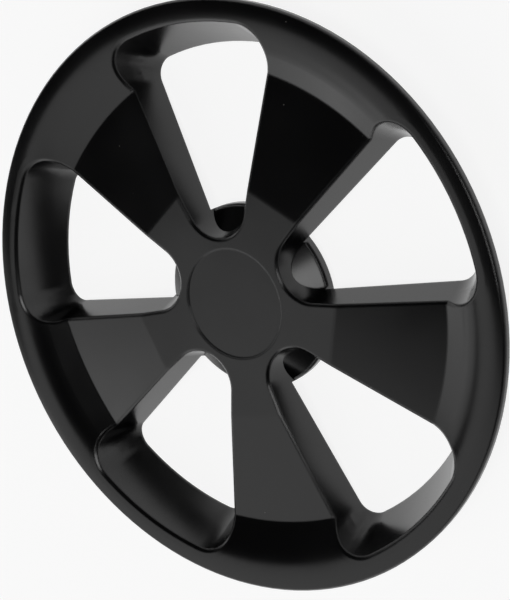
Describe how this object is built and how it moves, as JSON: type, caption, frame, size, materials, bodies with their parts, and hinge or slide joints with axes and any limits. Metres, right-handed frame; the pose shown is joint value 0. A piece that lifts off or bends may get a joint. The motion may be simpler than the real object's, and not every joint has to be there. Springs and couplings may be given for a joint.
{
  "type": "hubcap",
  "caption": "Round moulded wheel cap with broad flat spokes, deep drafted windows, a rolled rim and a hub socket at the back.",
  "frame": {"origin": "on the wheel's axis, in the plane of the feet at the back", "axes": "+Z along the wheel's axis, out of the front face; +Y through the middle of a spoke"},
  "size_m": [0.2, 0.2, 0.0179],
  "materials": {
    "body": "gloss"
  },
  "bodies": {
    "root": {"hubcap": "body"}
  },
  "joints": []
}
